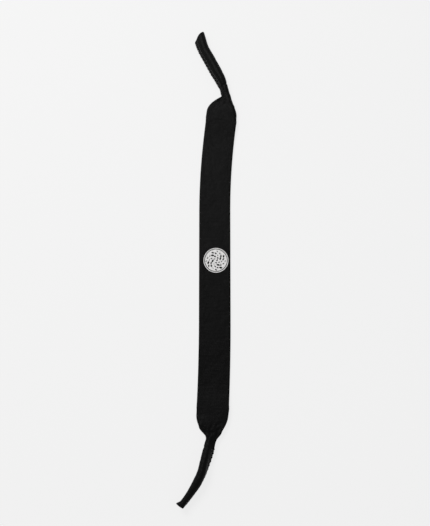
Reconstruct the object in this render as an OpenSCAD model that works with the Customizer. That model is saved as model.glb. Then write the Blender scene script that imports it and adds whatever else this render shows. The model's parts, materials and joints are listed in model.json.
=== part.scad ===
// Eyeglass retainer strap: a foam and jersey laminate band whose two narrow end tabs are
// folded lengthwise and overlocked into soft tubes for the temple tips of a pair of glasses.
// It lies flat with its printed face up. +Y runs along the strap, +Z is away from the surface,
// and the origin is the centre of the middle section's back face.

/* [Band] */
// Width of the band
band_w = 25.9; // [18:0.1:32]
// Distance along the band from its centre to each neck
neck_s = 143; // [135:1:160]
// Length over which a shoulder narrows to its neck
shoulder_len = 18; // [14:1:24]
// Width of the folded neck
neck_w = 6.6; // [6:0.1:8]

/* [Laminate] */
// Thickness of the foam core
foam_t = 1.5; // [1.2:0.1:2]
// Thickness of the jersey on each face
jersey_t = 0.25; // [0.2:0.05:0.4]

/* [Flex lines] */
// Distance from the centre to the inner flex lines
inner_flex_s = 45; // [35:1:55]
// Distance from the centre to the outer flex lines
outer_flex_s = 105; // [95:1:115]
// Gap between a hinge nose and the segment that turns round it
hinge_gap = 0.1; // [0.05:0.05:0.3]

/* [Lie of the band] */
// Straight length from the centre before the upper half curves
upper_straight = 40; // [20:1:60]
// Radius of the upper half's slow curve across the surface
upper_curve_r = 570; // [400:10:2000]
// Straight length from the centre before the lower half curves
lower_straight = 50; // [20:1:60]
// Radius of the lower half's slow curve across the surface
lower_curve_r = 1500; // [400:10:2000]

/* [Temple tubes] */
// Radius of the relaxed bore that a temple tip goes in
bore_r = 2; // [1.5:0.1:2.5]
// How far the overlocked edge stands out beyond the round of the tube
seam_fin = 1.6; // [1:0.1:2.2]
// Squeezed thickness of the overlocked edge
fin_t = 3.2; // [2.8:0.1:4]
// Length of tube from its neck to where the bore starts
closed_len = 10; // [9:0.5:12]
// Height of the tubes' undersides above the face that the band rests on
tube_lift = 0.3; // [0.3:0.1:1]
// Slant of the upper tube's cut end, against a square cut
upper_cut = 25; // [0:1:30]
// Slant of the lower tube's cut end, against a square cut
lower_cut = 0; // [0:1:30]

/* [Stitching] */
// Length of one overlock stitch
stitch_pitch = 3.15; // [2.5:0.05:4]
// Diameter of the sewing threads
thread_d = 0.35; // [0.2:0.05:0.5]

/* [Print] */
// Diameter of the round print
print_d = 20.5; // [15:0.5:23]
// Width of the print's outer ring
print_ring_w = 0.6; // [0.4:0.1:1.2]
// Gap between the ring and the disc inside it
print_ring_gap = 0.6; // [0.3:0.1:1]
// Thickness of the print
print_t = 0.1; // [0.05:0.05:0.2]
// How far the print sits to the right of the band's centre line
print_shift = 1; // [0:0.1:2]

/* [Hidden] */

foam_color = [0.06, 0.06, 0.06];
outer_color = [0.10, 0.10, 0.11];
inner_color = [0.08, 0.08, 0.08];
thread_color = [0.15, 0.15, 0.15];
print_color = [0.85, 0.85, 0.84];

sheet_t = foam_t + 2 * jersey_t;
hinge_r = sheet_t / 2;
nose_root = 0.25;
foam_z = jersey_t;
outer_z = jersey_t + foam_t;
half_w = band_w / 2;
neck_r = neck_w / 2;
curve_steps = 8;
shoulder_steps = 12;
shoulder_power = 0.9;

// Each half: straight length and radius of the band's slow curve, turn at the neck, tube
// route as [length of a straight, or radius and angle of an arc], and slant of the cut end.
// Positive angles turn to the left of the way out from the band's centre.
upper_half = [
    upper_straight, upper_curve_r, 18.2,
    [[48, 19], [24], [40, -14], [7.8]], upper_cut
];
lower_half = [
    lower_straight, lower_curve_r, -7.4,
    [[110, -24], [11.8]], lower_cut
];

// Place and heading on the band's centre line at distance s: [x, y, heading].
function band_turn(half, s) = max(0, s - half[0]) / half[1] * 180 / PI;
function band_at(half, s) =
    let (a = band_turn(half, s))
    [half[1] * (1 - cos(a)), min(s, half[0]) + half[1] * sin(a), -a];

// Half of the band's width at distance s.
function half_width(s) =
    let (d = max(0, neck_s - s) / shoulder_len)
    d >= 1 ? half_w : neck_r + (half_w - neck_r) * pow(sin(90 * d), shoulder_power);

// A point at distance s and offset u to the right of the centre line.
function band_point(half, s, u) =
    let (p = band_at(half, s))
    [p[0] + u * cos(p[2]), p[1] + u * sin(p[2])];

// Length of a piece of a tube's route, and the place and heading at its end.
function piece_len(piece) =
    len(piece) == 1 ? piece[0] : piece[0] * abs(piece[1]) * PI / 180;
function along(p, piece, d) =
    len(piece) == 1
    ? [p[0] - d * sin(p[2]), p[1] + d * cos(p[2]), p[2]]
    : let (
        side = sign(piece[1]),
        h = p[2] + side * d / piece[0] * 180 / PI
    )
    [
        p[0] - side * piece[0] * (cos(p[2]) - cos(h)),
        p[1] + side * piece[0] * (sin(h) - sin(p[2])),
        h
    ];

function neck_at(half) =
    let (p = band_at(half, neck_s))
    [p[0], p[1], p[2] + half[2]];
function route_len(route, i = 0) =
    i == len(route) ? 0 : piece_len(route[i]) + route_len(route, i + 1);
function tube_at(route, p, d, i = 0) =
    let (l = piece_len(route[i]))
    i == len(route) - 1 || d <= l
    ? along(p, route[i], d)
    : tube_at(route, along(p, route[i], l), d - l, i + 1);

tube_z = tube_lift + bore_r + sheet_t;
lining_r = bore_r + jersey_t;
foam_r = lining_r + foam_t;
tube_r = foam_r + jersey_t;
fin_reach = tube_r + seam_fin;
tube_start = neck_r + hinge_gap;
plug_len = 2.5;
plug_start = closed_len - plug_len;
stub_overlap = 0.5;
stub_end = plug_start + stub_overlap;
stub_h = 3.8;
stub_lift = 0.4;
past = 1;
overrun = 4;
cutter_w = 40;
cutter_l = 20;
thread_r = thread_d / 2;
stitch_start = closed_len + 1;
stitch_end_gap = 5;
stitch_gap = 0.6;
needle_u = tube_r + 0.25;
looper_u = needle_u + 0.5;
looper_from = 0.2;

// Puts its children in the half's own frame: the lower half is the upper turned half round.
module upper() {
    children();
}
module lower() {
    rotate([0, 0, 180]) children();
}

module place(p, z = 0) {
    translate([p[0], p[1], z]) rotate([0, 0, p[2]]) children();
}

// Flat sheet of the band between distances s0 and s1 from the centre.
module sheet(half, s0, s1, z, t, steps) {
    left = [for (i = [0:steps]) let (s = s0 + (s1 - s0) * i / steps)
        band_point(half, s, -half_width(s))];
    right = [for (i = [steps:-1:0]) let (s = s0 + (s1 - s0) * i / steps)
        band_point(half, s, half_width(s))];
    translate([0, 0, z]) linear_extrude(height = t) polygon(concat(left, right));
}

// Half-round nose across the band that the next segment turns about. Its root lies in the foam.
module flex_nose(half, s) {
    place(band_at(half, s), hinge_r) intersection() {
        rotate([0, 90, 0]) cylinder(r = hinge_r, h = band_w, center = true, $fn = 48);
        union() {
            translate([-half_w, 0, -hinge_r]) cube([band_w, hinge_r, sheet_t]);
            translate([-half_w, -nose_root, -foam_t / 2]) cube([band_w, hinge_r, foam_t]);
        }
    }
}

// Middle section, which carries the print.
module middle_layer(z, t) {
    s = inner_flex_s;
    translate([0, 0, z]) linear_extrude(height = t) polygon([
        band_point(upper_half, s, -half_w),
        [-half_w, upper_straight],
        -band_point(lower_half, s, half_w),
        -band_point(lower_half, s, -half_w),
        [half_w, upper_straight],
        band_point(upper_half, s, half_w)
    ]);
}

module middle_foam() {
    color(foam_color) {
        middle_layer(foam_z, foam_t);
        upper() flex_nose(upper_half, inner_flex_s);
        lower() flex_nose(lower_half, inner_flex_s);
    }
}
module middle_outer_jersey() {
    color(outer_color) middle_layer(outer_z, jersey_t);
}
module middle_inner_jersey() {
    color(inner_color) middle_layer(0, jersey_t);
}

// Generic round print: a ring round a plain disc.
module round_print() {
    ring_r = print_d / 2 - print_ring_w;
    disc_r = ring_r - print_ring_gap;
    color(print_color) translate([print_shift, 0, sheet_t]) linear_extrude(height = print_t) {
        difference() {
            circle(d = print_d, $fn = 96);
            circle(r = ring_r, $fn = 96);
        }
        circle(r = disc_r, $fn = 96);
    }
}

// Segment between the two flex lines of one half.
module band_layer(half, z, t) {
    start = inner_flex_s + hinge_r + hinge_gap;
    sheet(half, start, outer_flex_s, z, t, curve_steps);
}
module band_foam(half) {
    color(foam_color) {
        band_layer(half, foam_z, foam_t);
        flex_nose(half, outer_flex_s);
    }
}
module band_outer_jersey(half) {
    color(outer_color) band_layer(half, outer_z, jersey_t);
}
module band_inner_jersey(half) {
    color(inner_color) band_layer(half, 0, jersey_t);
}

// Segment from the outer flex line to the neck, with the shoulders that narrow it.
module shoulder_layer(half, z, t) {
    flat_end = neck_s - shoulder_len;
    start = outer_flex_s + hinge_r + hinge_gap;
    sheet(half, start, flat_end, z, t, 2);
    sheet(half, flat_end, neck_s, z, t, shoulder_steps);
    place(band_at(half, neck_s), z) cylinder(r = neck_r, h = t, $fn = 48);
}
module shoulder_foam(half) {
    color(foam_color) shoulder_layer(half, foam_z, foam_t);
}
module shoulder_outer_jersey(half) {
    color(outer_color) shoulder_layer(half, outer_z, jersey_t);
}
module shoulder_inner_jersey(half) {
    color(inner_color) shoulder_layer(half, 0, jersey_t);
}

// Sweeps a flat section, x across and y up, round an arc that leaves the origin along +Y, from
// one angle to another. Positive radii turn left and angles below zero lie before the origin.
module bend(r, from, to) {
    start = to == 0 ? 0 : from;
    mirror([r > 0 ? 0 : 1, 0, 0]) translate([-abs(r), 0, 0]) rotate([0, 0, start])
        rotate_extrude(angle = to == 0 ? from : to - from, $fn = 128)
            translate([abs(r), 0]) mirror([r > 0 ? 0 : 1, 0]) children();
}

// Runs a section along a tube's route between two distances from its neck, drawn from the end
// of its first arc. The last straight goes on past its end, so that a cut can trim it.
module run(route, from, to) {
    arc = route[0];
    l = piece_len(arc);
    if (from < l)
        bend(sign(arc[1]) * arc[0], (from - l) / arc[0] * 180 / PI,
            (min(to, l) - l) / arc[0] * 180 / PI) children();
    if (to > l)
        run_on(route, 1, max(0, from - l), to - l) children();
}
module run_on(route, i, from, to) {
    piece = route[i];
    last = i == len(route) - 1;
    l = piece_len(piece);
    b = last ? to : min(l, to);
    if (len(piece) == 1)
        translate([0, b, 0]) rotate([90, 0, 0]) linear_extrude(height = b - from) children();
    else
        bend(sign(piece[1]) * piece[0], 0, abs(piece[1])) children();
    if (!last && len(piece) == 1)
        translate([0, l, 0]) run_on(route, i + 1, 0, to - l) children();
    if (!last && len(piece) == 2)
        translate([-sign(piece[1]) * piece[0], 0, 0]) rotate([0, 0, piece[1]])
            translate([sign(piece[1]) * piece[0], 0, 0])
                run_on(route, i + 1, 0, to - l) children();
}

// Places what is drawn about a tube's axis on its half, and trims it at the slanted cut.
module tube_on(half) {
    l = route_len(half[3]);
    difference() {
        place(tube_at(half[3], neck_at(half), piece_len(half[3][0])), tube_z) children();
        place(tube_at(half[3], neck_at(half), l - slant_depth(half)), -past)
            rotate([0, 0, half[4]]) translate([-cutter_w / 2, 0, 0])
                cube([cutter_w, cutter_l, 4 * tube_r]);
    }
}
// How far before the route's end the slanted cut crosses the tube's axis.
function slant_depth(half) = fin_reach * tan(half[4]) / 2;

// Sections of the tube: a round with a fin on its seam side, each one inside the next.
module round_and_fin(r, reach, t) {
    circle(r = r, $fn = 64);
    translate([-reach, -t / 2]) square([reach, t]);
}
module skin_section() {
    round_and_fin(tube_r, fin_reach, fin_t);
}
module foam_section(extra = 0) {
    round_and_fin(foam_r, fin_reach + extra, fin_t - 2 * jersey_t);
}
module lining_section(extra = 0) {
    round_and_fin(lining_r, fin_reach + extra, 2 * jersey_t);
}
module bore_section() {
    circle(r = bore_r, $fn = 64);
}
// Folded neck that joins the tube to the band, inside a skin of the given thickness.
module stub_section(skin) {
    translate([-neck_r + skin, stub_lift - tube_z + skin])
        square([neck_w - 2 * skin, stub_h - 2 * skin]);
}

module tube_foam(half) {
    end = route_len(half[3]) + overrun;
    color(foam_color) tube_on(half) difference() {
        union() {
            run(half[3], tube_start, stub_end) stub_section(jersey_t);
            run(half[3], plug_start, end) foam_section();
        }
        run(half[3], closed_len, end) lining_section(past);
    }
}
module tube_outer_jersey(half) {
    end = route_len(half[3]) + overrun;
    color(outer_color) tube_on(half) difference() {
        union() {
            run(half[3], tube_start, stub_end) stub_section(0);
            run(half[3], plug_start - jersey_t, end) skin_section();
        }
        run(half[3], tube_start - past, stub_end) stub_section(jersey_t);
        run(half[3], plug_start, end) foam_section(past);
    }
}
module tube_lining(half) {
    end = route_len(half[3]) + overrun;
    color(inner_color) tube_on(half) difference() {
        run(half[3], closed_len, end) lining_section();
        run(half[3], closed_len, end) bore_section();
    }
}

// Number of stitches, and the place of each along the tube.
function stitch_count(half) =
    floor((route_len(half[3]) - stitch_start - stitch_end_gap) / stitch_pitch);
module at_stitches(half) {
    for (i = [0:stitch_count(half) - 1])
        place(tube_at(half[3], neck_at(half), stitch_start + i * stitch_pitch), tube_z)
            children();
}

// Straight length of thread between two points.
module strand(a, b) {
    d = b - a;
    l = norm(d);
    translate(a) rotate([0, acos(d[2] / l), atan2(d[1], d[0])])
        cylinder(r = thread_r, h = l, $fn = 24);
}

// Needle thread: one dash on top for each stitch.
module needle_thread(half) {
    top = fin_t / 2 + thread_r;
    color(thread_color) at_stitches(half)
        strand(
            [-needle_u, stitch_gap / 2, top],
            [-needle_u, stitch_pitch - stitch_gap / 2, top]
        );
}
// Looper threads: a slanting bar from the needle line to the edge for each stitch.
module looper_thread(half, side) {
    level = side * (fin_t / 2 + thread_r);
    color(thread_color) at_stitches(half)
        strand([-looper_u, looper_from, level], [-fin_reach, stitch_pitch / 2, level]);
}

middle_foam();
middle_outer_jersey();
middle_inner_jersey();
round_print();

upper() band_foam(upper_half);  // upper_band_foam
upper() band_outer_jersey(upper_half);  // upper_band_outer_jersey
upper() band_inner_jersey(upper_half);  // upper_band_inner_jersey
upper() shoulder_foam(upper_half);  // upper_shoulder_foam
upper() shoulder_outer_jersey(upper_half);  // upper_shoulder_outer_jersey
upper() shoulder_inner_jersey(upper_half);  // upper_shoulder_inner_jersey
upper() tube_foam(upper_half);  // upper_tube_foam
upper() tube_outer_jersey(upper_half);  // upper_tube_outer_jersey
upper() tube_lining(upper_half);  // upper_tube_lining
upper() needle_thread(upper_half);  // upper_needle_thread
upper() looper_thread(upper_half, 1);  // upper_top_looper_thread
upper() looper_thread(upper_half, -1);  // upper_bottom_looper_thread

lower() band_foam(lower_half);  // lower_band_foam
lower() band_outer_jersey(lower_half);  // lower_band_outer_jersey
lower() band_inner_jersey(lower_half);  // lower_band_inner_jersey
lower() shoulder_foam(lower_half);  // lower_shoulder_foam
lower() shoulder_outer_jersey(lower_half);  // lower_shoulder_outer_jersey
lower() shoulder_inner_jersey(lower_half);  // lower_shoulder_inner_jersey
lower() tube_foam(lower_half);  // lower_tube_foam
lower() tube_outer_jersey(lower_half);  // lower_tube_outer_jersey
lower() tube_lining(lower_half);  // lower_tube_lining
lower() needle_thread(lower_half);  // lower_needle_thread
lower() looper_thread(lower_half, 1);  // lower_top_looper_thread
lower() looper_thread(lower_half, -1);  // lower_bottom_looper_thread
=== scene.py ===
import json
import math

import bpy
import numpy as np
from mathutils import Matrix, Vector, geometry


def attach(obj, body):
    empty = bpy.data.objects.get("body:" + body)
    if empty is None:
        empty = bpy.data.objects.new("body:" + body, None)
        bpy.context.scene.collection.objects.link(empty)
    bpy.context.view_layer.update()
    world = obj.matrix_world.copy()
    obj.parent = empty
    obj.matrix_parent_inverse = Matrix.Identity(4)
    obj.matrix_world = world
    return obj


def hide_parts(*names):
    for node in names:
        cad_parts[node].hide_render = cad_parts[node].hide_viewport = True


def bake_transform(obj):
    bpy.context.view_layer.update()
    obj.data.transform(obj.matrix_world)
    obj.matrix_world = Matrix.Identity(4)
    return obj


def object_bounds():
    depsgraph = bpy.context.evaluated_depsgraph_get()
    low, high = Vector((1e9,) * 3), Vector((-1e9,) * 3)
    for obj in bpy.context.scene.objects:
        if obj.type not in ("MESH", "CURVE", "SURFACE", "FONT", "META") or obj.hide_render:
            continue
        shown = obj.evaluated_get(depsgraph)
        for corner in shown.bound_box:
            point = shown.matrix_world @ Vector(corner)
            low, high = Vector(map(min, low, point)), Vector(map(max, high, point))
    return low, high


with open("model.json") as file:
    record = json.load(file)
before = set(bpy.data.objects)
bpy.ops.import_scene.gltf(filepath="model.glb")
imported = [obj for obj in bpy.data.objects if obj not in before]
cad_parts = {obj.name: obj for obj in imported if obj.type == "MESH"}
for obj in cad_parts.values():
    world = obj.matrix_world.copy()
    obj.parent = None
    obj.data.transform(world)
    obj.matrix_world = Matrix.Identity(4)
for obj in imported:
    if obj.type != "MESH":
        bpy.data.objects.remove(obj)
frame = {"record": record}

cad_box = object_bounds()
joints = {j["name"]: j for j in frame["record"]["behaviour"]["joints"]}

# The strap's measures in millimetres, as in the CAD model. Meshes are made in metres.
MM = 0.001
BAND_W = 25.9
NECK_S = 143.0
SHEET_T = 2.0
JERSEY_T = 0.25
HALF_T = SHEET_T / 2

# The stitches: their spacing, where the first one starts past the neck, what stays free of them
# at the tube's mouth, the threads' radius, and how far they stand out from the cut edges.
PITCH = 3.15
STITCH_START = 7.9
STITCH_END_GAP = 2.0
THREAD_R = 0.17
THREAD_REACH = 0.65

# Where the three lengths of laminate in each half meet: they cross the flex lines and the neck.
MIDDLE_END = 15.0
BAND_END = 75.0
SHOULDER_END = 124.0

# The overlocked edge of a tube: length of each lip and of the turn at its root, the distance
# between the lips' middle surfaces, the share of their thickness that the stitches leave, and
# how far from the cut edge that fades out.
LIP = 1.0
ROOT = 3.2
LIP_GAP = 1.66
LIP_SQUEEZE = 0.8
SQUEEZE_FADES = (0.5, 3.5)

# The edge that rolls under on its way to the neck: its radius, and the length over which it
# begins. Past the neck the roll becomes a tube between TUBE_FORMS.
ROLL_R = 1.5
ROLL_START = 9.0
TUBE_FORMS = (-4, 4)

# The blade thinned the band's cut edges by this share, over this width, and the cut end of a
# tube by this share, over this length.
EDGE_THINNED = 0.3
EDGE_W = 0.9
MOUTH_THINNED = 0.18
MOUTH_LEN = 1.2

# A slanted or rounded end is drawn out of the last END_REACH of a tube. The rounding comes down
# to the ends' own line CROWN_HALF_W from the middle.
END_REACH = 12
CROWN_HALF_W = 5.0

# The cloth's own unevenness: waves of the band, which fade out before the neck; scallops where
# each stitch pulls the edge in, which start past the neck and end before the mouth; gathers at
# the neck; dents by distance past the neck, share of the width and depth; and creases across
# the tube by distance and depth.
WAVE = 0.07
WAVES_FADE = (-14, -2)
SCALLOP = 0.38
SCALLOPS_START = (5, 9)
SCALLOPS_END = (-4, -1)
GATHER = 0.12
GATHERS_START = (-16, -6)
GATHERS_END = (-2, 3)
DENT_LEN = 1.3
DENT_SHARE = 0.055
DENTS = (
    (-6.5, 0.16, 0.45), (-9.5, 0.27, 0.35), (-8.0, 0.42, 0.3), (-12.0, 0.2, 0.25),
    (-4.5, 0.33, 0.35),
)
CREASE_LEN = 0.9
CREASES = ((7.5, 0.35), (17.0, 0.12), (29.5, 0.16), (43.0, 0.1))

# Columns of points across the laminate, and each layer's lower and upper face.
COLUMNS = 61
LAYERS = {
    "outer": (HALF_T - JERSEY_T, HALF_T),
    "foam": (JERSEY_T - HALF_T, HALF_T - JERSEY_T),
    "inner": (-HALF_T, JERSEY_T - HALF_T),
}


def ease(a, b, x):
    """0 before a, 1 after b, and smooth between them."""
    t = np.clip((np.asarray(x, float) - a) / (b - a), 0, 1)
    return t * t * (3 - 2 * t)


def mix(a, b, w):
    """a where w is 0 and b where w is 1."""
    return a + (b - a) * w


def bump_at(x, centre, width):
    """1 at the centre, falling off smoothly over about width."""
    return np.exp(-(((x - centre) / width) ** 2))


def knotted(knots, x):
    """The value at x of a line through knots, each a place and a value."""
    return np.interp(x, *np.array(knots).T)


def last_true(test, low, high, rounds):
    """The highest value between low and high for which test holds, found by halving."""
    for _ in range(rounds):
        middle = (low + high) / 2
        if test(middle):
            low = middle
        else:
            high = middle
    return low


def softened(values, step, width):
    """values blurred along the strap over about width on each side."""
    n = int(round(width / step))
    kernel = np.hanning(2 * n + 3)[1:-1]
    padded = np.pad(values, (n, n), mode="edge")
    return np.convolve(padded, kernel / kernel.sum(), mode="valid")


class Half:
    """One half of the strap. s is the distance from the middle of the band, t the distance across
    the laminate from its left cut edge, seen along the way out, and e the distance past the neck.
    """

    # The path: its step, its start, its length past the tube's end, and the reach of its turn
    # to either side of the neck.
    STEP = 0.1
    START = -20.0
    PATH_SPARE = 12
    TURN_REACH = 5

    # The cross-sections: their spacing, their length past the tube's end, the points in each
    # while it is worked out, and how far they are blurred along the strap.
    ROW_STEP = 0.25
    ROW_SPARE = 4
    FINE = 401
    BLUR = 1.5

    # The laminate is too stiff to follow the floor closely: its height is the most that these
    # rows to either side need, blurred over this length.
    REST_ROWS = 60
    REST_BLUR = 14

    def __init__(self, name, side, straight, radius, turn, route, cut, trim, crown, shoulder,
                 widths, rolls, centres):
        """The band is straight at first, then bends with the radius, and turns at the neck. The
        tube's route is made of straight lengths and of arcs, radius and angle. cut is the slant
        of its end, crown the height of its rounding, and trim how much shorter than the route it
        is before that. shoulder is the length in which the band narrows, the power that shapes
        it, the width that shows at its end, and where it ends. widths, rolls and centres are by
        distance past the neck: the laminate's flat width, its tilt in degrees, and the distance
        of its middle from the path."""
        self.name, self.side, self.cut, self.crown = name, side, math.radians(cut), crown
        lengths = [p[0] if len(p) == 1 else p[0] * math.radians(abs(p[1])) for p in route]
        turns = [0 if len(p) == 1 else math.radians(p[1]) for p in route]
        self.end = NECK_S + sum(lengths)
        self.mouth = self.end - trim
        self.s = np.arange(self.START, self.end + self.PATH_SPARE, self.STEP)
        e = self.s - NECK_S
        self.heading = (
            -np.clip(np.minimum(self.s, NECK_S) - straight, 0, None) / radius
            + math.radians(turn) * ease(-self.TURN_REACH, self.TURN_REACH, e)
            + np.interp(e, np.cumsum([0] + lengths), np.cumsum([0] + turns))
        )
        self.x = self.summed(-np.sin(self.heading))
        self.y = self.summed(np.cos(self.heading))
        self.width_knots, self.roll_knots, self.centre_knots = widths, rolls, centres
        self.shoulder_len, self.shoulder_power, self.neck_w, self.corner = shoulder
        self.dense = np.arange(-MIDDLE_END - 1, self.end + self.ROW_SPARE, self.ROW_STEP)
        self.profile = {k: [] for k in ("u", "w", "phi", "squeeze", "width")}
        self.c = self.columns()
        for s in self.dense:
            self.add_profile(s)
        self.profile = {k: np.array(v) for k, v in self.profile.items()}
        for key in ("u", "w", "phi", "squeeze"):
            table = self.profile[key]
            for k in range(COLUMNS):
                table[:, k] = softened(table[:, k], self.ROW_STEP, self.BLUR)
        self.lay_down()

    def summed(self, rate):
        """Adds up a rate of change along the path, from 0 in the middle of the band."""
        total = np.concatenate([[0], np.cumsum((rate[1:] + rate[:-1]) / 2 * self.STEP)])
        return total - np.interp(0, self.s, total)

    @staticmethod
    def columns():
        """Places of the columns as shares of the width, closer together at the cut edges."""
        x = np.linspace(0, 1, COLUMNS)
        return 0.65 * x + 0.35 * (0.5 - 0.5 * np.cos(np.pi * x))

    def flat_width(self, e):
        """Width of the laminate itself, laid out flat."""
        return float(knotted(self.width_knots, e))

    def seen_width(self, e):
        """Width that shows from above while the laminate folds under, up to the neck."""
        d = max(0.0, self.corner - e) / self.shoulder_len
        if d >= 1:
            return BAND_W
        return mix(self.neck_w, BAND_W, math.sin(math.pi / 2 * d) ** self.shoulder_power)

    def flap(self, e, width, seen):
        """Length of laminate that has rolled under, so that the rest shows the width seen."""
        fold = self.corner - self.shoulder_len
        curled = float(ease(fold - ROLL_START, fold, e))
        if curled <= 0:
            return 0.0

        def too_wide(length):
            turn = min(length / ROLL_R, math.pi / 2)
            return width - length + (ROLL_R + HALF_T) * math.sin(turn) > seen

        return last_true(too_wide, 0.0, width, rounds=40) * curled

    @staticmethod
    def angles(t, width, alpha, start, stop):
        """Angle of the cross-section at t: up by alpha past one lip, over and under from start
        to stop, and back by alpha before the other lip."""
        up = ease(LIP, LIP + ROOT, t)
        down = ease(width - LIP - ROOT, width - LIP, t)
        roll = np.clip((t - start) / (stop - start), 0, 1)
        return alpha * up - (math.pi + 2 * alpha) * roll + alpha * down

    @staticmethod
    def walked(phi, step):
        """Places along a line whose angle is phi."""
        mid = (phi[1:] + phi[:-1]) / 2
        u = np.concatenate([[0], np.cumsum(np.cos(mid) * step)])
        w = np.concatenate([[0], np.cumsum(np.sin(mid) * step)])
        return u, w

    def lip_angle(self, t, width):
        """Angle at the roots that brings the two lips together."""
        def too_open(alpha):
            phi = self.angles(t, width, alpha, LIP + ROOT, width - LIP - ROOT)
            w = self.walked(phi, t[1] - t[0])[1]
            return w[0] - w[-1] > LIP_GAP

        return last_true(too_open, 0.0, math.radians(110), rounds=30)

    def add_profile(self, s):
        """Works out the laminate's cross-section at s: place, angle and squeeze by column."""
        e = s - NECK_S
        width = self.flat_width(e)
        t = np.linspace(0, width, self.FINE)
        tube = float(ease(*TUBE_FORMS, e))
        if tube < 1:
            seen = self.seen_width(e)
            length = self.flap(e, width, seen)
            start, stop = width - length, width - length + math.pi * ROLL_R
        else:
            start, stop = 0, width
        alpha = 0.0
        if tube > 0:
            alpha = tube * self.lip_angle(t, width)
            start = mix(start, LIP + ROOT, tube)
            stop = mix(stop, width - LIP - ROOT, tube)
        phi = self.angles(t, width, alpha, start, stop) + self.tilt_at(e)
        u, w = self.walked(phi, t[1] - t[0])
        out = u - HALF_T * np.sin(phi)
        u = u + float(knotted(self.centre_knots, e)) - (out.max() + out.min()) / 2
        edge = np.minimum(t, width - t)
        trimmed = 1 - EDGE_THINNED * (1 - np.clip(edge / EDGE_W, 0, 1)) ** 2 * (1 - tube)
        lips = 1 - (1 - LIP_SQUEEZE) * tube * (1 - ease(*SQUEEZE_FADES, edge))
        at = self.c * width
        for key, value in (("u", u), ("w", w), ("phi", phi), ("squeeze", trimmed * lips)):
            self.profile[key].append(np.interp(at, t, value))
        self.profile["width"].append(width)

    def lay_down(self):
        """Rests each cross-section on the floor, and adds the cloth's own unevenness."""
        p = self.profile
        s, t = self.dense[:, None], self.c[None, :] * p["width"][:, None]
        e = s - NECK_S
        tube = ease(*TUBE_FORMS, e)
        reach = HALF_T * p["squeeze"]
        low = np.minimum(p["w"] + reach * np.cos(p["phi"]), p["w"] - reach * np.cos(p["phi"]))
        hang = THREAD_REACH * np.clip(np.sin(self.tilt_at(self.dense - NECK_S)), 0, 1)
        need = -low.min(axis=1) + hang
        n = self.REST_ROWS
        held = np.array([need[max(0, i - n): i + n + 1].max() for i in range(len(need))])
        p["w"] = p["w"] + softened(held, self.ROW_STEP, self.REST_BLUR)[:, None]

        across = (t - p["width"][:, None] / 2) * self.side
        strap = s * self.side
        uneven = self.band_unevenness(strap, across) * (1 - ease(*WAVES_FADE, e))
        gather = self.gathers(e, t, p["width"][:, None])
        p["w"] = p["w"] + (uneven + gather) * np.cos(p["phi"])
        p["u"] = p["u"] - gather * np.sin(p["phi"])

        stitched = ease(*SCALLOPS_START, e) * (1 - ease(*SCALLOPS_END, s - self.end))
        edge = np.minimum(t, p["width"][:, None] - t)
        wave = np.cos(2 * np.pi * (e - STITCH_START) / PITCH)
        pull = SCALLOP * wave * stitched * (1 - ease(0, LIP + ROOT, edge)) * tube
        p["u"] = p["u"] - pull * np.cos(self.tilt_at(e))
        p["w"] = p["w"] - pull * np.sin(self.tilt_at(e))

    def tilt_at(self, e):
        """How far the cross-section is rolled about the path."""
        return np.radians(knotted(self.roll_knots, e))

    @staticmethod
    def band_unevenness(strap, across):
        """Gentle waves of a strap that was folded in a packet, never below the floor."""
        waves = (
            np.sin(strap / 7.9 + 0.6) * np.cos(across / 9.0 + strap / 31)
            + 0.7 * np.sin(strap / 15.3 - across / 13.0 + 1.9)
            + 0.5 * np.sin(across / 4.1 + 0.4 * np.sin(strap / 11.0))
        )
        return WAVE * (waves + 2.2)

    @staticmethod
    def gathers(e, t, width):
        """Small folds that run into the neck, dents between them, and creases across the tube."""
        c = t / width
        folds = (
            np.sin(2 * np.pi * (c * 4.3 + 0.15 + e / 60))
            + 0.6 * np.sin(2 * np.pi * (c * 7.1 - 0.2))
        )
        into_neck = GATHER * folds * ease(*GATHERS_START, e) * (1 - ease(*GATHERS_END, e))
        dents = sum(
            -depth * bump_at(e, at, DENT_LEN) * bump_at(c, place, DENT_SHARE)
            for at, place, depth in DENTS
        )
        on_top = ease(0.1, 0.3, c) * (1 - ease(0.6, 0.8, c))
        creases = sum(
            -depth * bump_at(e - 6 * (c - 0.35), at, CREASE_LEN) * on_top
            for at, depth in CREASES
        )
        return into_neck + dents + creases

    def at(self, s, t=None, c=None, h=0.0, lift=0.0):
        """Points of the laminate in metres, at the distance t or the share c of its width from
        the left cut edge. h is the height from its middle surface, before any squeezing, and lift
        the height above that."""
        s = np.asarray(s, float)
        i = np.clip((s - self.dense[0]) / self.ROW_STEP, 0, len(self.dense) - 1.001)
        i0 = i.astype(int)
        f = i - i0
        width = mix(self.profile["width"][i0], self.profile["width"][i0 + 1], f)
        if c is None:
            c = np.asarray(t, float) / width
        c = np.asarray(c, float)
        k = np.clip(np.searchsorted(self.c, c, side="right") - 1, 0, COLUMNS - 2)
        g = (c - self.c[k]) / (self.c[k + 1] - self.c[k])

        def value(key):
            table = self.profile[key]
            near = mix(table[i0, k], table[i0, k + 1], g)
            far = mix(table[i0 + 1, k], table[i0 + 1, k + 1], g)
            return mix(near, far, f)

        phi = value("phi")
        off = h * value("squeeze") + lift
        u = value("u") - off * np.sin(phi)
        w = value("w") + off * np.cos(phi)
        return self.placed(s, u, w)

    def placed(self, s, u, w):
        """A point u to the right of the path and w above the floor, at the place s along it."""
        slant = math.tan(self.cut) * u + self.crown * (1 - (u / CROWN_HALF_W) ** 2)
        s = s + slant * ease(self.mouth - END_REACH, self.mouth, s)
        heading = np.interp(s, self.s, self.heading)
        x = np.interp(s, self.s, self.x) + u * np.cos(heading)
        y = np.interp(s, self.s, self.y) + u * np.sin(heading)
        return np.stack([x * self.side, y * self.side, w + 0 * x], axis=-1) * MM


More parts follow.
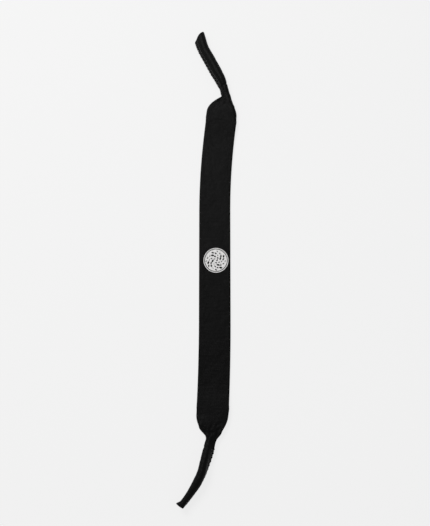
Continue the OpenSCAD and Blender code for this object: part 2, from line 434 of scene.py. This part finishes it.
upper = Half(
    "upper", side=1, straight=40, radius=570, turn=18.2,
    route=[(48, 19), (24,), (40, -14), (7.8,)], cut=25, trim=0.9, crown=1.3,
    shoulder=(17, 1.03, 6.6, -1.7),
    widths=[(-20, BAND_W), (-15, BAND_W), (-10, 25.3), (-6.5, 22.5), (-4, 17.5), (-1.7, 14.4),
            (5, 14.4), (9, 17.0), (14, 19.6), (21, 22.2), (34, 22.2), (46, 21.4), (70, 21.4)],
    rolls=[(-18, 0), (-10, 4), (-6, 4), (2, 4), (14, 22), (62, 22)],
    centres=[(-24, 0), (-18, -0.5), (-13, -0.8), (-9, -0.5), (-6, 0.1), (-3.5, 1.0), (-2, 1.1),
             (1, -0.2), (5, -0.7), (10, -1.0), (35, -1.3), (46, -1.8), (58, -2.5)],
)
lower = Half(
    "lower", side=-1, straight=50, radius=1500, turn=-7.4,
    route=[(110, -24), (11.8,)], cut=0, trim=0, crown=0,
    shoulder=(20, 0.98, 8.3, 1.3),
    widths=[(-22, BAND_W), (-14, BAND_W), (-8, 25.3), (-4.5, 22.5), (-1, 19.0), (1.1, 17.4),
            (4, 17.4), (8, 18.6), (20, 19.2), (28, 20.6), (36, 20.6), (44, 17.6), (50, 15.4),
            (55, 15.0), (58, 20.6), (70, 20.6)],
    rolls=[(-18, 0), (-8, 4), (-4, 4), (4, 4), (14, 30), (26, 62), (45, 70), (70, 70)],
    centres=[(-24, 0), (-12, 0.2), (-6, 0.3), (-2.5, -0.6), (0, -0.5), (4, 0.0), (14, -0.3),
             (20, -0.6), (28, -1.5), (36, -1.7), (50, -1.7), (55, -1.4), (58, 0.1), (80, 0.1)],
)
HALVES = (upper, lower)


# Meshes ---------------------------------------------------------------------------------------

def new_object(name, verts, faces, coords=None, sharp=(), smooth=True):
    """A mesh object. coords are the points' places on the flat cloth, which its material reads."""
    mesh = bpy.data.meshes.new(name)
    mesh.from_pydata([tuple(v) for v in verts], [], faces)
    mesh.validate()
    mesh.polygons.foreach_set("use_smooth", [smooth] * len(mesh.polygons))
    if coords is not None:
        layer = mesh.attributes.new("sheet_mm", "FLOAT_VECTOR", "POINT")
        layer.data.foreach_set("vector", np.asarray(coords, np.float32).ravel())
    if sharp:
        marks = set(frozenset(p) for p in sharp)
        flags = [frozenset(e.vertices) in marks for e in mesh.edges]
        layer = mesh.attributes.new("sharp_edge", "BOOLEAN", "EDGE")
        layer.data.foreach_set("value", flags)
    mesh.update()
    obj = bpy.data.objects.new(name, mesh)
    bpy.context.scene.collection.objects.link(obj)
    return obj


# Distance between the rows of a mesh, up to each place along a half: closer where it is folded.
ROW_STEPS = ((112, 1.5), (NECK_S + 12, 0.5), (math.inf, PITCH / 6))
LEAST_STEP = 0.2


def rows_between(start, stop):
    """Places along the strap for the rows of a mesh."""
    found = [start]
    while found[-1] < stop:
        step = next(step for limit, step in ROW_STEPS if found[-1] < limit)
        s = found[-1] + step
        found.append(s if stop - s >= LEAST_STEP else stop)
    return np.array(found)


# Steps down a cut edge of the foam, and how far its middle has drawn in.
WALL_STEPS = 4
FOAM_DIP = 0.09


def layer_ring(c, low, high, walls):
    """A layer's outline across the strap, by share of the width, height and distance drawn in:
    the upper face, down one cut edge, back along the lower face and up the other edge."""
    ring = []
    for start, stop, edge, face in ((high, low, 1.0, c), (low, high, 0.0, c[::-1])):
        ring += [(share, start, 0.0) for share in face]
        ring += [(edge, mix(start, stop, k / walls), FOAM_DIP * math.sin(math.pi * k / walls))
                 for k in range(1, walls)]
    return np.array(ring).T


def laminate(half, name, layer, s0, s1, open_end=False):
    """One layer of the laminate between two places along a half, as a closed solid. Also gives
    the greatest width of the flat cloth there."""
    rows = rows_between(s0, s1)
    walls = WALL_STEPS if layer == "foam" else 1
    ring_c, ring_h, ring_in = layer_ring(half.c, *LAYERS[layer], walls)
    n = len(ring_c)
    verts, coords = [], []
    for s in rows:
        here = np.full(n, s)
        width = half.flat_width(s - NECK_S)
        inward = ring_in / width * np.where(ring_c > 0.5, -1, 1)
        h = ring_h * (mouth_squeeze(half, s) if open_end else 1.0)
        verts.append(half.at(here, c=ring_c + inward, h=h))
        coords.append(np.stack(
            [(ring_c - 0.5) * width * half.side, here * half.side, ring_h], axis=-1))
    verts, coords = np.concatenate(verts), np.concatenate(coords)
    m, faces = len(rows), []
    for i in range(m - 1):
        for j in range(n):
            a, b = i * n + j, i * n + (j + 1) % n
            faces.append((a, a + n, b + n, b))
    top = list(range(COLUMNS))
    bottom = list(range(COLUMNS - 1 + walls, 2 * COLUMNS - 1 + walls))[::-1]
    right = list(range(COLUMNS - 1, COLUMNS + walls))
    left = list(range(2 * COLUMNS - 2 + walls, n)) + [0]
    caps = [(top[j], top[j + 1], bottom[j + 1], bottom[j]) for j in range(COLUMNS - 1)]
    if walls > 1:
        caps += [tuple(right), tuple(left)]
    last = (m - 1) * n
    faces += [tuple(f) for f in caps]
    faces += [tuple(last + v for v in reversed(f)) for f in caps]
    corners = [0, COLUMNS - 1, COLUMNS - 1 + walls, 2 * COLUMNS - 2 + walls]
    sharp = [(i * n + v, (i + 1) * n + v) for i in range(m - 1) for v in corners]
    for base in (0, last):
        sharp += [(base + j, base + (j + 1) % n) for j in range(n)]
    obj = new_object(name, verts, faces, coords, sharp)
    return obj, max(half.flat_width(s - NECK_S) for s in rows)


def mouth_squeeze(half, s):
    """The cut end of a tube is a little thinner, where the blade pressed it."""
    return 1 - MOUTH_THINNED * float(ease(half.mouth - MOUTH_LEN, half.mouth, s)) ** 2


# Share of its radius that a thread has left at its ends.
END_TAPER = 0.35


def swept(name, paths, radius, sides=8):
    """Round threads along the given lines of points, in metres, with tapered ends."""
    verts, faces, coords = [], [], []
    for path in paths:
        path = np.asarray(path, float)
        tangent = np.gradient(path, axis=0)
        tangent /= np.linalg.norm(tangent, axis=1)[:, None]
        up = np.array([0.0, 0.0, 1.0])
        lengths = np.concatenate([[0], np.cumsum(np.linalg.norm(np.diff(path, axis=0), axis=1))])
        side = np.cross(tangent[0], up)
        if np.linalg.norm(side) < 0.1:
            side = np.cross(tangent[0], np.array([1.0, 0.0, 0.0]))
        base = len(verts)
        for i, p in enumerate(path):
            side = side - tangent[i] * (side @ tangent[i])
            side = side / np.linalg.norm(side)
            over = np.cross(side, tangent[i])
            r = radius * (END_TAPER if i in (0, len(path) - 1) else 1.0)
            for k in range(sides):
                a = 2 * math.pi * k / sides
                verts.append(p + r * (math.cos(a) * side + math.sin(a) * over))
                coords.append((k / sides, lengths[i] / MM, 0.0))
        for i in range(len(path) - 1):
            for k in range(sides):
                a, b = base + i * sides + k, base + i * sides + (k + 1) % sides
                faces.append((a, b, b + sides, a + sides))
        faces.append(tuple(base + k for k in reversed(range(sides))))
        faces.append(tuple(base + (len(path) - 1) * sides + k for k in range(sides)))
    return new_object(name, verts, faces, coords)


# Materials ------------------------------------------------------------------------------------

class Nodes:
    """Short calls for building a material's nodes."""

    def __init__(self, name):
        self.material = bpy.data.materials.new(name)
        self.material.use_nodes = True
        self.tree = self.material.node_tree
        self.shader = self.tree.nodes["Principled BSDF"]

    def link(self, source, target):
        self.tree.links.new(source, target)

    def add(self, kind, inputs=(), **settings):
        """A node. An input is either another node's socket or a value."""
        node = self.tree.nodes.new(kind)
        for key, value in settings.items():
            setattr(node, key, value)
        for key, value in dict(inputs).items():
            if isinstance(value, bpy.types.NodeSocket):
                self.link(value, node.inputs[key])
            else:
                node.inputs[key].default_value = value
        return node

    def math(self, operation, a, b=0.0):
        return self.add("ShaderNodeMath", {0: a, 1: b}, operation=operation).outputs[0]

    def noise(self, vector, scale, detail=3.0, roughness=0.5):
        node = self.add("ShaderNodeTexNoise", {
            "Vector": vector, "Scale": scale, "Detail": detail, "Roughness": roughness})
        return node.outputs["Fac"]

    def ramp(self, value, low, high, low_colour, high_colour):
        """From one colour to the other as the value goes from low to high."""
        node = self.add("ShaderNodeMapRange", {
            "Value": value, "From Min": low, "From Max": high})
        mixer = self.add("ShaderNodeMix", {
            "Factor": node.outputs["Result"], 6: (*low_colour, 1), 7: (*high_colour, 1),
        }, data_type="RGBA")
        return mixer.outputs[2]

    def sheet(self):
        """Place on the flat cloth in millimetres: the vector, and its parts across and along."""
        node = self.add("ShaderNodeAttribute", attribute_name="sheet_mm")
        parts = self.add("ShaderNodeSeparateXYZ", {0: node.outputs["Vector"]})
        return node.outputs["Vector"], parts.outputs["X"], parts.outputs["Y"]

    def bump(self, height, distance, strength=1.0, normal=None):
        inputs = {"Height": height, "Distance": distance, "Strength": strength}
        if normal is not None:
            inputs["Normal"] = normal
        return self.add("ShaderNodeBump", inputs).outputs["Normal"]

    def surface(self, colour, roughness, normal, **constants):
        """Finishes the material. Constants are set on the shader's own sockets."""
        for name, value in (("Base Color", colour), ("Roughness", roughness), ("Normal", normal)):
            if isinstance(value, bpy.types.NodeSocket):
                self.link(value, self.shader.inputs[name])
            else:
                self.shader.inputs[name].default_value = value
        for name, value in constants.items():
            self.shader.inputs[name.replace("_", " ")].default_value = value
        return self.material


def grey(level, warm=0.0):
    """A grey, with a little more red and less blue where it is warm."""
    return (level * (1 + warm), level, level * (1 - warm))


# Width of a column of the jersey's stitches and height of a row.
WALE = 0.62
COURSE = 0.5


def knit(name, low, high, wale=WALE, course=COURSE):
    """Fine jersey: rows of V-shaped stitches, with a nap and uneven dye."""
    n = Nodes(name)
    vector, across, along = n.sheet()
    saw = n.math("FRACT", n.math("DIVIDE", across, wale))
    vee = n.math("ABSOLUTE", n.math("SUBTRACT", saw, 0.5))
    phase = n.math("ADD", n.math("DIVIDE", along, course), n.math("MULTIPLY", vee, 1.1))
    leg = n.math("SINE", n.math("MULTIPLY", phase, 2 * math.pi))
    round_wale = n.math("SINE", n.math("MULTIPLY", saw, math.pi))
    stitch = n.math("MULTIPLY", n.math("ADD", leg, 1.4), round_wale)
    nap = n.noise(vector, 3.1, 4.0, 0.7)
    fibres = n.noise(vector, 9.0, 2.0)
    wide = n.noise(vector, 0.16, 3.0, 0.6)
    squashed = n.add("ShaderNodeVectorMath", {0: vector, 1: (0.06, 0.5, 0.06)},
                     operation="MULTIPLY").outputs[0]
    rows = n.noise(squashed, 1.0, 3.0, 0.6)
    height = n.math("ADD", n.math("MULTIPLY", stitch, 0.35),
                    n.math("ADD", n.math("MULTIPLY", nap, 0.9), n.math("MULTIPLY", fibres, 0.3)))
    shade = n.math("ADD", n.math("MULTIPLY", wide, 0.6), n.math("MULTIPLY", nap, 0.25))
    shade = n.math("ADD", shade, n.math("MULTIPLY", stitch, 0.06))
    colour = n.ramp(shade, 0.3, 0.75, low, high)
    rough = n.math("ADD", n.math("MULTIPLY", nap, 0.14), 0.37)
    waves = n.math("ADD", wide, n.math("MULTIPLY", rows, 0.6))
    normal = n.bump(height, 0.09 * MM, 0.8, normal=n.bump(waves, 0.45 * MM))
    return n.surface(
        colour, rough, normal, Specular_IOR_Level=0.055, Sheen_Weight=0.015,
        Sheen_Roughness=0.45)


def foam_material():
    """Closed-cell foam, seen at its cut edges."""
    n = Nodes("foam_core")
    vector, _, _ = n.sheet()
    cells = n.add("ShaderNodeTexVoronoi", {"Vector": vector, "Scale": 4.2})
    small = n.add("ShaderNodeTexVoronoi", {"Vector": vector, "Scale": 11.0})
    pits = n.math("ADD", cells.outputs["Distance"],
                  n.math("MULTIPLY", small.outputs["Distance"], 0.5))
    cloudy = n.noise(vector, 0.5)
    colour = n.ramp(n.math("ADD", n.math("MULTIPLY", pits, 0.5), n.math("MULTIPLY", cloudy, 0.5)),
                    0.2, 0.8, grey(0.007), grey(0.024, 0.02))
    normal = n.bump(pits, 0.12 * MM, 0.9)
    return n.surface(colour, 0.85, normal, Specular_IOR_Level=0.25)


# A thread's plies, and the length of one turn of their twist.
PLIES = 2.0
TWIST_LEN = 0.55


def thread_material():
    """Textured overlock thread: plies twisted round each other."""
    n = Nodes("overlock_thread")
    vector, around, along = n.sheet()
    turn = n.math("ADD", n.math("MULTIPLY", around, PLIES), n.math("DIVIDE", along, TWIST_LEN))
    ply = n.math("SINE", n.math("MULTIPLY", turn, 2 * math.pi))
    fuzz = n.noise(vector, 14.0, 3.0)
    shade = n.math("ADD", n.math("MULTIPLY", ply, 0.2), fuzz)
    colour = n.ramp(shade, 0.25, 0.9, grey(0.005), grey(0.02))
    normal = n.bump(n.math("ADD", ply, fuzz), 0.05 * MM, 0.9)
    return n.surface(colour, 0.6, normal, Specular_IOR_Level=0.3, Sheen_Weight=0.15,
                     Sheen_Roughness=0.4)


def ink_material():
    """White screen ink pressed on jersey: the knit shows through, and it has rubbed a little."""
    n = Nodes("print_ink")
    vector, across, along = n.sheet()
    saw = n.math("FRACT", n.math("DIVIDE", across, WALE))
    ridge = n.math("SINE", n.math("MULTIPLY", saw, math.pi))
    course = n.math("SINE", n.math("MULTIPLY", along, 2 * math.pi / COURSE))
    weave = n.math("MULTIPLY", n.math("ADD", course, 2.0), ridge)
    rub = n.noise(vector, 0.9, 6.0, 0.65)
    thin = n.math("SUBTRACT", n.math("ADD", n.math("MULTIPLY", weave, 0.1), rub), 0.12)
    colour = n.ramp(thin, 0.26, 0.5, grey(0.25, 0.01), grey(0.57, 0.01))
    normal = n.bump(n.math("ADD", weave, rub), 0.04 * MM, 0.8)
    return n.surface(colour, 0.62, normal, Specular_IOR_Level=0.3)


OUTER = knit("outer_jersey_knit", grey(0.0005), grey(0.0019))
INNER = knit("inner_jersey_knit", grey(0.002), grey(0.006), wale=0.7, course=0.55)
FOAM = foam_material()
THREAD = thread_material()
INK = ink_material()


# The laminate ---------------------------------------------------------------------------------

# Each layer's part name, which is also the end of its nodes' names, and its material.
LAYER_PARTS = {
    "outer": ("outer_jersey", OUTER),
    "foam": ("foam", FOAM),
    "inner": ("inner_jersey", INNER),
}

# Step along the strap for adding up a sheet's flat area.
AREA_STEP = 0.5


def soft_layers(half, prefix, s0, s1, ride, inner_part="inner_jersey"):
    """The three layers of one length of laminate. ride is called on each, to put it on a body or
    to bake its placement into its mesh.
    """
    for layer, (slot, material) in LAYER_PARTS.items():
        part = inner_part if layer == "inner" else slot
        node = f"{prefix}_{part}"
        obj, width = laminate(half, node + "_soft", layer, s0, s1, open_end=s1 > NECK_S)
        obj.data.materials.append(material)
        ride(obj)
        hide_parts(node)
        if layer == "foam":
            continue
        rows = np.arange(s0, s1, AREA_STEP) + AREA_STEP / 2
        area = AREA_STEP * sum(half.flat_width(s - NECK_S) for s in rows)


def crossing(joint_name):
    """For a piece that crosses a joint: works out the strap's way out there, and gives what bakes
    the piece's placement into its mesh.
    """
    joint = joints[joint_name]
    side = 1 if joint["pos_m"][1] > 0 else -1
    x, y, z = joint["axis"]
    if z:
        half = upper if side > 0 else lower
        h = np.interp(NECK_S, half.s, half.heading)
        way = Vector((-math.sin(h), math.cos(h), 0)) * side
    else:
        way = Vector((-y, x, 0)).normalized()
        way = way if way.y * side > 0 else -way
    return lambda obj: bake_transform(obj)


soft_layers(upper, "middle", -MIDDLE_END, MIDDLE_END, lambda obj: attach(obj, "middle"))
for half in HALVES:
    name = half.name
    soft_layers(half, f"{name}_band", MIDDLE_END, BAND_END,
                crossing(f"{name}_inner_flex"))
    soft_layers(half, f"{name}_shoulder", BAND_END, SHOULDER_END,
                crossing(f"{name}_outer_flex"))
    soft_layers(half, f"{name}_tube", SHOULDER_END, half.mouth,
                crossing(f"{name}_neck_swing"),
                inner_part="lining")


# The overlock stitches ------------------------------------------------------------------------

def smooth_line(points, steps=5):
    """A smooth line through points, a Catmull-Rom spline."""
    p = np.concatenate([[2 * points[0] - points[1]], points, [2 * points[-1] - points[-2]]])
    found = []
    for i in range(1, len(p) - 2):
        for k in range(steps):
            f = k / steps
            a = 2 * p[i]
            b = p[i + 1] - p[i - 1]
            c = 2 * p[i - 1] - 5 * p[i] + 4 * p[i + 1] - p[i + 2]
            d = -p[i - 1] + 3 * p[i] - 3 * p[i + 1] + p[i + 2]
            found.append(0.5 * (a + b * f + c * f * f + d * f ** 3))
    found.append(p[-2])
    return np.array(found)


def stitch_places(half):
    """Where each stitch of a tube begins."""
    count = math.floor((half.end - NECK_S - STITCH_START - STITCH_END_GAP) / PITCH)
    return [NECK_S + STITCH_START + i * PITCH for i in range(count)]


# The needle's line: its distance from the cut edge, which wanders a little from stitch to
# stitch, each stitch as shares of the pitch and heights above the lip, and the height that the
# thread lies at, as a share of its radius.
NEEDLE_T = 3.1
NEEDLE_LINE = ((0.12, -0.5), (0.2, 0.02), (0.5, 0.1), (0.8, 0.02), (0.9, -0.5))
NEEDLE_LIFT = 0.6
NEEDLE_WANDER = 0.08

# A looper thread runs from the needle's line out over its lip, round the cut edges and back:
# shares of the pitch with distances from the cut edge, or with levels between the two lips. How
# far it reaches past the edges varies a little, and so does each stitch's slack, which also
# shifts it along.
LOOP_OUT = ((0.0, NEEDLE_T + 0.25), (0.24, 1.7), (0.41, 0.35))
LOOP_OVER = ((0.45, 0.8), (0.52, -0.05), (0.60, 0.75))
LOOP_BACK = ((0.66, 0.35), (0.83, 1.7))
LOOP_LIFT = 0.8
LOOP_REACH = 0.42
LOOP_VARIES = (-0.05, 0.12)
SLACK = 0.12
SLACK_SHIFT = 0.03


def on_lip(half, s, t, face, lift):
    """A point on the upper lip, face 1, or on the lower one, face -1, t from the cut edge."""
    width = half.flat_width(s - NECK_S)
    return half.at(s, t=t if face > 0 else width - t, h=HALF_T, lift=lift)


def over_edge(half, s, out, level):
    """A point beyond the cut edges of the two lips: level is 1 at the upper face, -1 below."""
    top, bottom = half.at(s, c=0.0, h=HALF_T), half.at(s, c=1.0, h=HALF_T)
    inside = half.at(s, c=0.02, h=HALF_T)
    way = (top - inside) / np.linalg.norm(top - inside)
    return (top + bottom) / 2 + way * out * MM + (top - bottom) / 2 * level


def needle_path(half, s, wander):
    """One stitch of the needle thread, up out of the lip and down into it again."""
    return smooth_line(np.array([
        on_lip(half, s + f * PITCH, NEEDLE_T + wander, 1, THREAD_R * NEEDLE_LIFT + up)
        for f, up in NEEDLE_LINE]))


def looper_path(half, places, face, rng):
    """The looper thread of one lip, all along the seam."""
    lift = THREAD_R * LOOP_LIFT
    points = []
    for s in places:
        slack = rng.uniform(-SLACK, SLACK)
        out = LOOP_REACH + rng.uniform(*LOOP_VARIES)
        for f, t in LOOP_OUT:
            shift = SLACK_SHIFT * slack
            points.append(on_lip(half, s + (f + shift) * PITCH, t + slack, face, lift))
        for f, level in LOOP_OVER:
            points.append(over_edge(half, s + f * PITCH, out, level * face))
        for f, t in LOOP_BACK:
            points.append(on_lip(half, s + f * PITCH, t + slack, face, lift))
    points.append(on_lip(half, places[-1] + PITCH, NEEDLE_T, face, lift))
    return smooth_line(np.array(points))


SEED = 40

for number, half in enumerate(HALVES):
    rng = np.random.default_rng(SEED + number)
    places = stitch_places(half)
    needle = [needle_path(half, s, rng.uniform(-NEEDLE_WANDER, NEEDLE_WANDER)) for s in places]
    loopers = {
        "top": looper_path(half, places, 1, rng),
        "bottom": looper_path(half, places, -1, rng),
    }
    threads = [(swept(f"{half.name}_needle_thread_soft", needle, THREAD_R * MM),
                f"{half.name}_needle_thread")]
    for face, path in loopers.items():
        node = f"{half.name}_{face}_looper_thread"
        threads.append((swept(node + "_soft", [path], THREAD_R * MM), node))
    for obj, node in threads:
        obj.data.materials.append(THREAD)
        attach(obj, f"{half.name}_tube")
        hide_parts(node)


# The round print ------------------------------------------------------------------------------

# The print's radius, its ring's width and the gap inside that, its distance from the band's
# middle line, and the heights of its two faces from the jersey's.
PRINT_R = 10.25
PRINT_RING_W = 0.6
PRINT_RING_GAP = 0.6
PRINT_SHIFT = 1.0
INK_UP = 0.07
INK_DOWN = -0.05

# The gaps in the disc: how many the spiral has, their half length and half width, their turn
# from the way out, the power that makes them lens-shaped, and the least ink outside them.
GAPS = 46
GOLDEN_ANGLE = math.pi * (3 - math.sqrt(5))
GAP_LONG = 1.0
GAP_WIDE = 0.56
GAP_TURN = 0.9
GAP_POWER = 1.6
GAP_RIM = 0.12

# The grid of points between the outlines: its step, and how far it keeps from the outlines, as
# a growth of the gaps and a distance from the circles.
GRID_STEP = 0.55
GRID_GROW = 1.15
GRID_MARGIN = 0.25


def gap_shapes(disc_r):
    """Small lens-shaped gaps along a sunflower spiral: centre, half length, half width, turn."""
    found = []
    for n in range(GAPS):
        r = (disc_r - 0.2) * math.sqrt((n + 0.5) / GAPS)
        a = n * GOLDEN_ANGLE
        size = 1 + 0.3 * math.sin(3.3 * n) + 0.2 * math.sin(5.1 * n)
        found.append((r * math.cos(a), r * math.sin(a), GAP_LONG * size, GAP_WIDE * size,
                      a + GAP_TURN))
    return found


def in_gap(gap, x, y, grow):
    """Whether a point lies in a gap that is grown about its centre."""
    cx, cy, long, wide, turn = gap
    u = (x - cx) * math.cos(turn) + (y - cy) * math.sin(turn)
    v = -(x - cx) * math.sin(turn) + (y - cy) * math.cos(turn)
    return (abs(u) / (long * grow)) ** GAP_POWER + (abs(v) / (wide * grow)) ** GAP_POWER < 1


def gap_outline(gap, points=14):
    """Points round a gap."""
    cx, cy, long, wide, turn = gap
    found = []
    for k in range(points):
        a = 2 * math.pi * k / points
        u = long * math.copysign(abs(math.cos(a)) ** (2 / GAP_POWER), math.cos(a))
        v = wide * math.copysign(abs(math.sin(a)) ** (2 / GAP_POWER), math.sin(a))
        found.append((cx + u * math.cos(turn) - v * math.sin(turn),
                      cy + u * math.sin(turn) + v * math.cos(turn)))
    return found


def circle(r, points=120):
    """Points round a circle about the print's middle."""
    return [(r * math.cos(2 * math.pi * k / points), r * math.sin(2 * math.pi * k / points))
            for k in range(points)]


def triangulated(outlines, keep):
    """Triangles over the outlines and a grid between them, where keep says yes. keep is told
    how much the gaps are grown."""
    points, edges = [], []
    for outline in outlines:
        base = len(points)
        points += [Vector(p) for p in outline]
        edges += [(base + k, base + (k + 1) % len(outline)) for k in range(len(outline))]
    reach = int(PRINT_R / GRID_STEP) + 1
    for i in range(-reach, reach + 1):
        for j in range(-reach, reach + 1):
            x, y = (i + 0.5 * (j % 2)) * GRID_STEP, j * GRID_STEP * 0.866
            if keep(x, y, GRID_GROW):
                points.append(Vector((x, y)))
    verts, _, faces, *_ = geometry.delaunay_2d_cdt(points, edges, [], 0, 1e-5)
    kept = []
    for f in faces:
        x = sum(verts[v].x for v in f) / 3
        y = sum(verts[v].y for v in f) / 3
        if keep(x, y, 1.0):
            kept.append(tuple(f))
    return [(v.x, v.y) for v in verts], kept


def pressed_on(parts):
    """A thin skin of ink over the outer jersey from flat triangles, as one closed mesh."""
    verts, faces, coords = [], [], []
    for flat, triangles in parts:
        used = sorted({v for f in triangles for v in f})
        number = {v: i for i, v in enumerate(used)}
        x = np.array([flat[v][0] + PRINT_SHIFT for v in used])
        y = np.array([flat[v][1] for v in used])
        base, n = len(verts), len(used)
        for lift in (INK_UP, INK_DOWN):
            verts += list(upper.at(y, t=x + BAND_W / 2, h=HALF_T, lift=lift))
            coords += list(np.stack([x, y, np.full(n, lift)], axis=-1))
        edges = []
        for f in triangles:
            a, b, c = (base + number[v] for v in f)
            faces.append((a, b, c))
            faces.append((c + n, b + n, a + n))
            edges += [(a, b), (b, c), (c, a)]
        shared = set(edges)
        for a, b in edges:
            if (b, a) not in shared:
                faces.append((b, a, a + n, b + n))
    return verts, faces, coords


ring_inner = PRINT_R - PRINT_RING_W
disc_r = ring_inner - PRINT_RING_GAP
gaps = [g for g in gap_shapes(disc_r) if math.hypot(g[0], g[1]) + g[2] < disc_r - GAP_RIM]


def on_disc(x, y, grow):
    """Whether there is ink here inside the ring."""
    if math.hypot(x, y) > disc_r - (GRID_MARGIN if grow > 1 else 0):
        return False
    return not any(in_gap(g, x, y, grow) for g in gaps)


def on_ring(x, y, grow):
    """Whether there is ink here on the ring."""
    margin = GRID_MARGIN if grow > 1 else 0
    return ring_inner + margin < math.hypot(x, y) < PRINT_R - margin


disc = triangulated([circle(disc_r)] + [gap_outline(g) for g in gaps], on_disc)
ring = triangulated([circle(PRINT_R), circle(ring_inner)], on_ring)
print_verts, print_faces, print_coords = pressed_on([disc, ring])
emblem = new_object("round_print_ink", print_verts, print_faces, print_coords, smooth=False)
emblem.data.materials.append(INK)
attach(emblem, "middle")
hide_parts("round_print")


# Floor, light and camera ----------------------------------------------------------------------

# The floor reaches this many metres each way, and lies this many millimetres below the strap.
FLOOR_HALF = 3.0
FLOOR_DROP = 0.05

# Light from the floor's own glow and from all round.
FLOOR_GLOW = 0.79
ROOM_LIGHT = 0.62

# The camera looks down from this many metres, tilted towards the strap's lower end.
CAMERA_DISTANCE = 0.6
CAMERA_TILT = math.radians(7.9)
CAMERA_LENS = 49.7


def floor_material():
    """Pale paper with a fine grain. Its own glow evens out what the one softbox leaves."""
    n = Nodes("floor_paper")
    place = n.add("ShaderNodeTexCoord").outputs["Object"]
    fine = n.noise(place, 900.0, 3.0)
    colour = n.ramp(fine, 0.3, 0.7, grey(0.07), grey(0.074))
    normal = n.bump(fine, 0.02 * MM, 0.3)
    return n.surface(colour, 0.9, normal, Specular_IOR_Level=0.1,
                     Emission_Color=(1, 1, 1, 1), Emission_Strength=FLOOR_GLOW)


floor_z = cad_box[0].z - FLOOR_DROP * MM
floor = new_object(
    "floor",
    [(-FLOOR_HALF, -FLOOR_HALF, floor_z), (FLOOR_HALF, -FLOOR_HALF, floor_z),
     (FLOOR_HALF, FLOOR_HALF, floor_z), (-FLOOR_HALF, FLOOR_HALF, floor_z)],
    [(0, 1, 2, 3)])
floor.data.materials.append(floor_material())

world = bpy.data.worlds.new("studio")
bpy.context.scene.world = world
world.use_nodes = True
background = world.node_tree.nodes["Background"]
background.inputs["Color"].default_value = (1, 1, 1, 1)
background.inputs["Strength"].default_value = ROOM_LIGHT


def softbox(name, place, aim, size, power):
    """A square softbox at place, turned to aim."""
    data = bpy.data.lights.new(name, "AREA")
    data.shape, data.size, data.energy = "SQUARE", size, power
    obj = bpy.data.objects.new(name, data)
    obj.location = place
    obj.rotation_mode = "QUATERNION"
    obj.rotation_quaternion = (Vector(aim) - Vector(place)).to_track_quat("-Z", "Y")
    bpy.context.scene.collection.objects.link(obj)


softbox("key", place=(-0.4, 0.5, 0.8), aim=(0, 0.1, 0), size=0.4, power=9.6)

middle_of_frame = Vector((0.0002, -0.0021, 0.001))
camera = bpy.data.objects.new("camera", bpy.data.cameras.new("camera"))
camera.data.sensor_width = 36
camera.data.lens = CAMERA_LENS
camera.data.clip_start, camera.data.clip_end = 0.01, 10
camera.location = middle_of_frame + CAMERA_DISTANCE * Vector(
    (0, -math.sin(CAMERA_TILT), math.cos(CAMERA_TILT)))
camera.rotation_euler = (CAMERA_TILT, 0, 0)
bpy.context.scene.collection.objects.link(camera)
bpy.context.scene.camera = camera

bpy.context.scene.view_settings.view_transform = "Standard"
